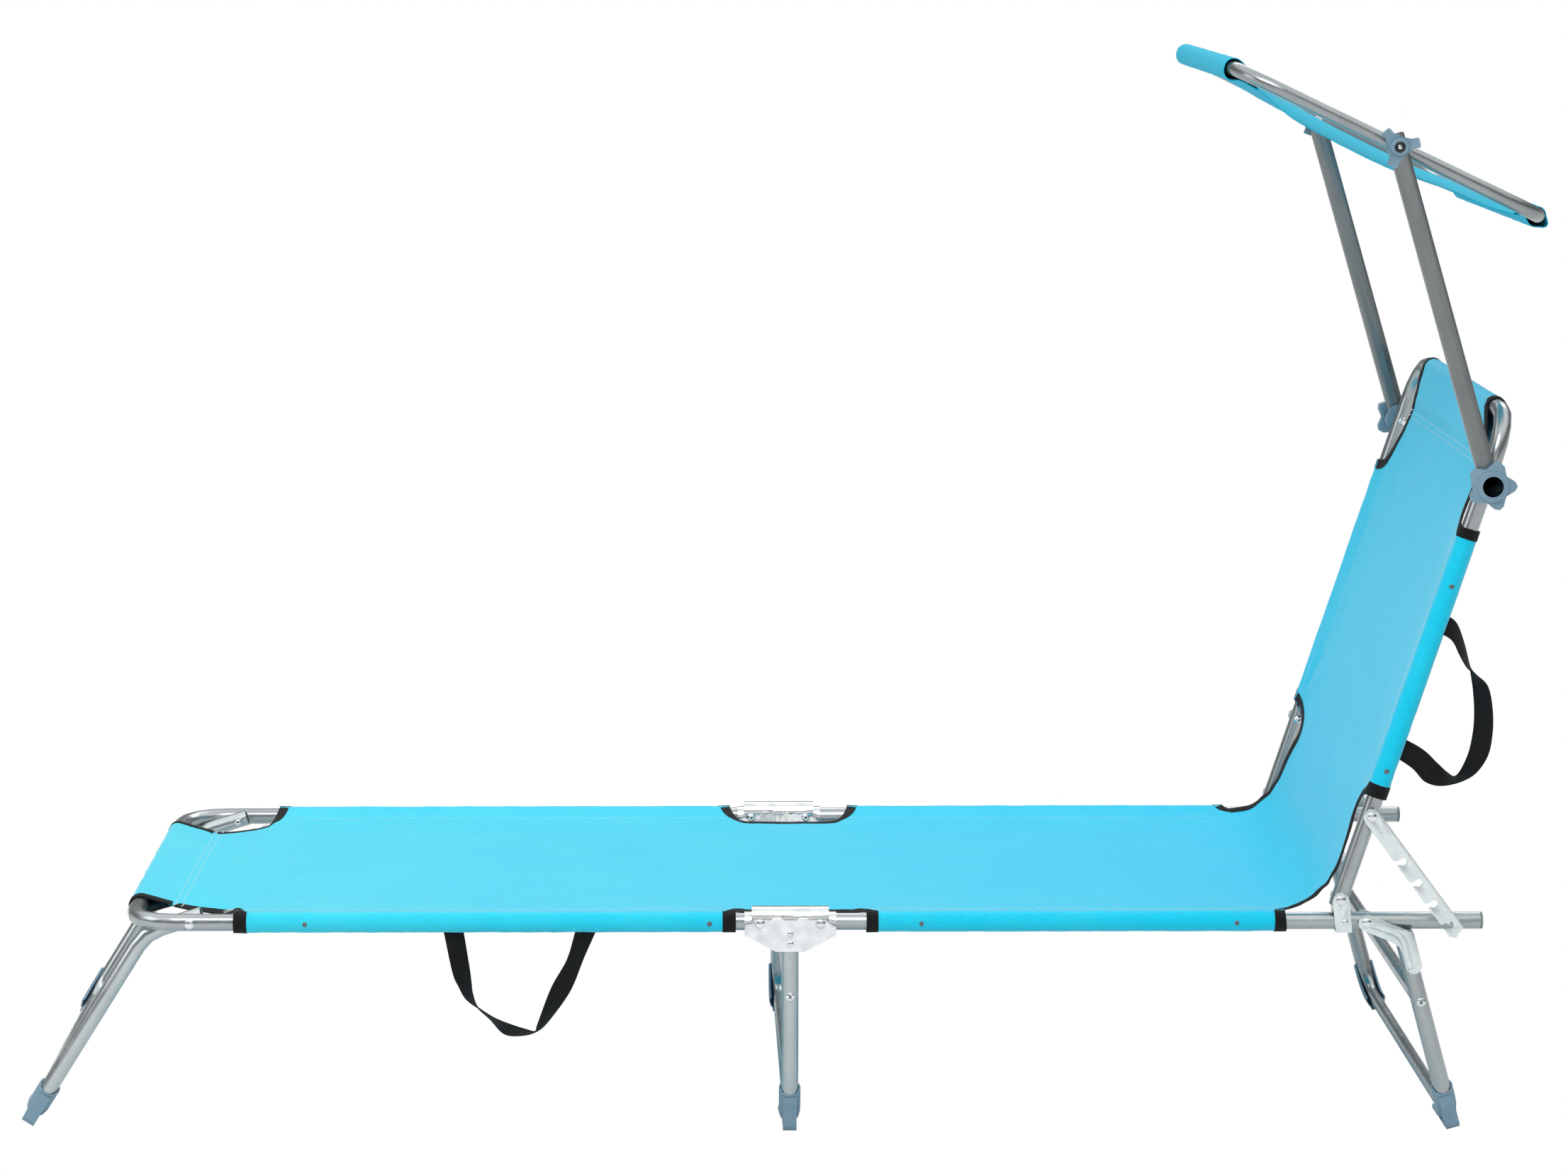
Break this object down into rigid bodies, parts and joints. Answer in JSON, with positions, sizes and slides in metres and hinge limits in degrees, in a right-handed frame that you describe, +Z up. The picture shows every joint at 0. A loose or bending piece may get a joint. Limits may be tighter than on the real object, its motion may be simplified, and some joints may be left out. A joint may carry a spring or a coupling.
{
  "type": "sun lounger with canopy",
  "caption": "Folding sun lounger with a tilting canopy on side arms, a ratcheted backrest, folding U-shaped legs and a fabric sling.",
  "frame": {"origin": "middle of the footprint, on the floor", "axes": "+X from the foot end to the head end, +Y to the right side of a person lying on it, +Z up"},
  "size_m": [1.6764, 0.6236, 1.1785],
  "materials": {
    "grey_paint": "satin silver-grey enamel",
    "bright_steel": "bright plated",
    "zinc_steel": "bright zinc plated sheet",
    "blue_grey_plastic": "moulded, matte",
    "cyan_cloth": "plain woven, with black edging",
    "black_webbing": "woven webbing"
  },
  "bodies": {
    "seat_section": {"seat_sling": "cyan_cloth", "seat_rail_left": "grey_paint", "seat_rail_right": "grey_paint", "rail_plug_left": "blue_grey_plastic", "rail_plug_right": "blue_grey_plastic", "backrest_saddle_left": "zinc_steel", "backrest_saddle_right": "zinc_steel", "catch_pin_left": "bright_steel", "catch_pin_right": "bright_steel", "backrest_rivet_left": "bright_steel", "backrest_rivet_right": "bright_steel", "rear_leg_rivet_left": "bright_steel", "rear_leg_rivet_right": "bright_steel"},
    "centre_leg_set": {"centre_leg": "grey_paint", "centre_spreader": "grey_paint", "hinge_bracket_left": "bright_steel", "hinge_bracket_right": "bright_steel", "hinge_rivet_foot_left": "bright_steel", "hinge_rivet_foot_right": "bright_steel", "hinge_rivet_seat_left": "bright_steel", "hinge_rivet_seat_right": "bright_steel", "centre_shoe_left": "blue_grey_plastic", "centre_shoe_right": "blue_grey_plastic"},
    "foot_section": {"foot_frame": "grey_paint", "foot_sling": "cyan_cloth", "seat_handle": "black_webbing", "front_leg_rivet_left": "bright_steel", "front_leg_rivet_right": "bright_steel"},
    "front_leg_set": {"front_leg": "grey_paint", "front_shoe_left": "blue_grey_plastic", "front_shoe_right": "blue_grey_plastic"},
    "rear_leg_set": {"rear_leg": "grey_paint", "rear_spreader": "grey_paint", "rear_shoe_left": "blue_grey_plastic", "rear_shoe_right": "blue_grey_plastic", "rear_bracket_left": "zinc_steel", "rear_bracket_right": "zinc_steel"},
    "backrest": {"back_frame": "grey_paint", "back_sling": "cyan_cloth", "back_handle": "black_webbing", "ratchet_rivet_left": "bright_steel", "ratchet_rivet_right": "bright_steel", "lower_spacer_left": "blue_grey_plastic", "lower_spacer_right": "blue_grey_plastic", "lower_bolt_left": "bright_steel", "lower_bolt_right": "bright_steel"},
    "ratchet_left": {"ratchet_bar_left": "zinc_steel"},
    "ratchet_right": {"ratchet_bar_right": "zinc_steel"},
    "canopy_arms": {"canopy_arm_left": "grey_paint", "canopy_arm_right": "grey_paint"},
    "canopy": {"canopy_frame": "grey_paint", "canopy_cover": "cyan_cloth", "upper_spacer_left": "blue_grey_plastic", "upper_spacer_right": "blue_grey_plastic", "upper_bolt_left": "bright_steel", "upper_bolt_right": "bright_steel"},
    "lower_knob_turn_left": {"lower_knob_left": "blue_grey_plastic"},
    "lower_knob_turn_right": {"lower_knob_right": "blue_grey_plastic"},
    "upper_knob_turn_left": {"upper_knob_left": "blue_grey_plastic"},
    "upper_knob_turn_right": {"upper_knob_right": "blue_grey_plastic"}
  },
  "joints": [
    {"name": "centre_leg_fold", "type": "hinge", "parent": "seat_section", "child": "centre_leg_set", "pos_m": [0.05144, 0, 0.237], "axis": [0, -1, 0], "range_deg": [0, 90]},
    {"name": "foot_section_fold", "type": "hinge", "parent": "centre_leg_set", "child": "foot_section", "pos_m": [-0.01506, 0, 0.237], "axis": [0, -1, 0], "range_deg": [0, 88], "deforming": ["seat_handle"]},
    {"name": "front_leg_fold", "type": "hinge", "parent": "foot_section", "child": "front_leg_set", "pos_m": [-0.64331, 0, 0.237], "axis": [0, -1, 0], "range_deg": [0, 125]},
    {"name": "rear_leg_fold", "type": "hinge", "parent": "seat_section", "child": "rear_leg_set", "pos_m": [0.65219, 0, 0.237], "axis": [0, 1, 0], "range_deg": [0, 107]},
    {"name": "backrest_recline", "type": "hinge", "parent": "seat_section", "child": "backrest", "pos_m": [0.62369, 0, 0.262], "axis": [0, -1, 0], "range_deg": [-72, 80]},
    {"name": "ratchet_swing_left", "type": "hinge", "parent": "backrest", "child": "ratchet_left", "pos_m": [0.65409, -0.2705, 0.35727], "axis": [0, -1, 0], "range_deg": [-59, 53]},
    {"name": "ratchet_swing_right", "type": "hinge", "parent": "backrest", "child": "ratchet_right", "pos_m": [0.65409, 0.2705, 0.35727], "axis": [0, -1, 0], "range_deg": [-59, 53]},
    {"name": "canopy_arm_swing", "type": "hinge", "parent": "backrest", "child": "canopy_arms", "pos_m": [0.77145, 0, 0.72499], "axis": [0, -1, 0], "range_deg": [-100, 75]},
    {"name": "canopy_tilt", "type": "hinge", "parent": "canopy_arms", "child": "canopy", "pos_m": [0.66225, 0, 1.08897], "axis": [0, -1, 0], "range_deg": [-48, 60]},
    {"name": "lower_knob_spin_left", "type": "hinge", "parent": "backrest", "child": "lower_knob_turn_left", "pos_m": [0.77145, -0.2705, 0.72499], "axis": [0, 1, 0], "range_deg": [0, 180]},
    {"name": "upper_knob_spin_left", "type": "hinge", "parent": "canopy_arms", "child": "upper_knob_turn_left", "pos_m": [0.66225, -0.2705, 1.08897], "axis": [0, 1, 0], "range_deg": [0, 180]},
    {"name": "lower_knob_spin_right", "type": "hinge", "parent": "backrest", "child": "lower_knob_turn_right", "pos_m": [0.77145, 0.2705, 0.72499], "axis": [0, 1, 0], "range_deg": [0, 180]},
    {"name": "upper_knob_spin_right", "type": "hinge", "parent": "canopy_arms", "child": "upper_knob_turn_right", "pos_m": [0.66225, 0.2705, 1.08897], "axis": [0, 1, 0], "range_deg": [0, 180]}
  ],
  "couplings": [
    {"joint": "ratchet_swing_left", "follows": "backrest_recline", "ratio": -0.73},
    {"joint": "ratchet_swing_right", "follows": "backrest_recline", "ratio": -0.73}
  ]
}
